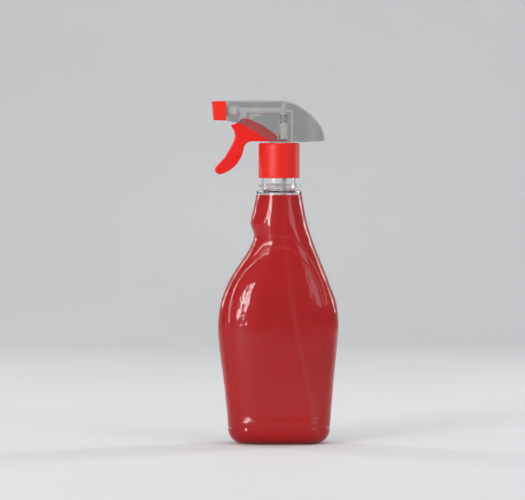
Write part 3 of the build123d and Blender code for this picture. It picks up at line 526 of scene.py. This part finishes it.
SPRING_LOW, SPRING_HIGH = 237.02, 249.18  # middle of the wire at the two ends
SPRING_TURNS = 6.5
SPRING_RADIUS = 2.85
SPRING_WIRE = 0.4
SPRING_STEPS = 520
WIRE_SIDES = 16

spring_path = []
for i in range(SPRING_STEPS + 1):
    u = i / SPRING_STEPS
    # the coils close up towards both ends
    rise = u - 0.06 * math.sin(2 * math.pi * u)
    z = SPRING_LOW + (SPRING_HIGH - SPRING_LOW) * rise
    spring_path.append((2 * math.pi * SPRING_TURNS * u, SPRING_RADIUS, z, 1.0, PUMP_X))
wire = [
    (SPRING_WIRE * math.cos(a), SPRING_WIRE * math.sin(a))
    for a in (2 * math.pi * j / WIRE_SIDES for j in range(WIRE_SIDES))
]
steel = metal("spring_steel", (0.50, 0.50, 0.49), (0.64, 0.64, 0.62), (0.16, 0.28))
spring = coil("spring_coil", spring_path, wire, steel, "head", "return_spring")
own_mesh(spring)

# ---------------------------------------------------------------------------------------------
# Studio
# ---------------------------------------------------------------------------------------------


def backdrop_material():
    n = Nodes("pale_floor")
    return n.surface(
        Base_Color=n.between(n.noise(3.0), (0.74, 0.745, 0.75), (0.78, 0.785, 0.79)),
        Roughness=0.7,
    )


# (y, z) of the floor, its curve up and the wall behind, in metres
BEND_START, BEND_RADIUS = 1.2, 0.8
sweep = [(-3.0, 0.0), (BEND_START, 0.0)]
for a in np.linspace(0.05, math.pi / 2, 20):
    sweep.append((BEND_START + BEND_RADIUS * math.sin(a), BEND_RADIUS - BEND_RADIUS * math.cos(a)))
sweep += [(2.0, 3.5)]
corners = [(x, y, z) for y, z in sweep for x in (-4.0, 4.0)]
quads = [(2 * i, 2 * i + 1, 2 * i + 3, 2 * i + 2) for i in range(len(sweep) - 1)]
floor_mesh = bpy.data.meshes.new("studio_floor")
floor_mesh.from_pydata(corners, [], quads)
floor_mesh.polygons.foreach_set("use_smooth", [True] * len(quads))
floor_mesh.materials.append(backdrop_material())
floor = bpy.data.objects.new("studio_floor", floor_mesh)
bpy.context.scene.collection.objects.link(floor)


def softbox(name, place, aim, size, power):
    lamp = bpy.data.lights.new(name, "AREA")
    lamp.shape = "RECTANGLE"
    lamp.size, lamp.size_y = size
    lamp.energy = power
    holder = bpy.data.objects.new(name, lamp)
    holder.location = place
    holder.rotation_euler = (Vector(aim) - Vector(place)).to_track_quat("-Z", "Y").to_euler()
    bpy.context.scene.collection.objects.link(holder)


softbox("window_left", (-1.36, -1.49, 0.50), (0, 0, 0.13), (0.26, 0.62), 12)
softbox("window_right", (-1.05, -1.74, 0.50), (0, 0, 0.13), (0.26, 0.62), 12)
softbox("fill", (1.5, -1.3, 0.9), (0, 0, 0.13), (0.8, 1.0), 7)
softbox("top", (0.0, -0.1, 1.7), (0, 0, 0.15), (1.0, 1.0), 8)
softbox("rim_right", (1.1, 0.7, 0.6), (0, 0, 0.14), (0.25, 0.9), 6)
softbox("rim_left", (-1.1, 0.9, 0.7), (0, 0, 0.14), (0.25, 0.9), 5)

world = bpy.data.worlds.new("studio")
world.use_nodes = True
world.node_tree.nodes["Background"].inputs["Color"].default_value = (0.90, 0.92, 0.95, 1)
world.node_tree.nodes["Background"].inputs["Strength"].default_value = 0.38
bpy.context.scene.world = world
bpy.context.scene.view_settings.view_transform = "Standard"

TILT = math.radians(2.0)
DISTANCE = 2.6
VIEW_WIDTH = 0.3982  # what the picture spans at the bottle
aim = Vector((-0.0125, 0.0, 0.1467))
lens = bpy.data.cameras.new("camera")
lens.sensor_width = 36.0
lens.lens = lens.sensor_width * DISTANCE / VIEW_WIDTH
camera = bpy.data.objects.new("camera", lens)
camera.location = aim + Vector((0, -math.cos(TILT), math.sin(TILT))) * DISTANCE
camera.rotation_euler = (math.pi / 2 - TILT, 0, 0)
bpy.context.scene.collection.objects.link(camera)
bpy.context.scene.camera = camera
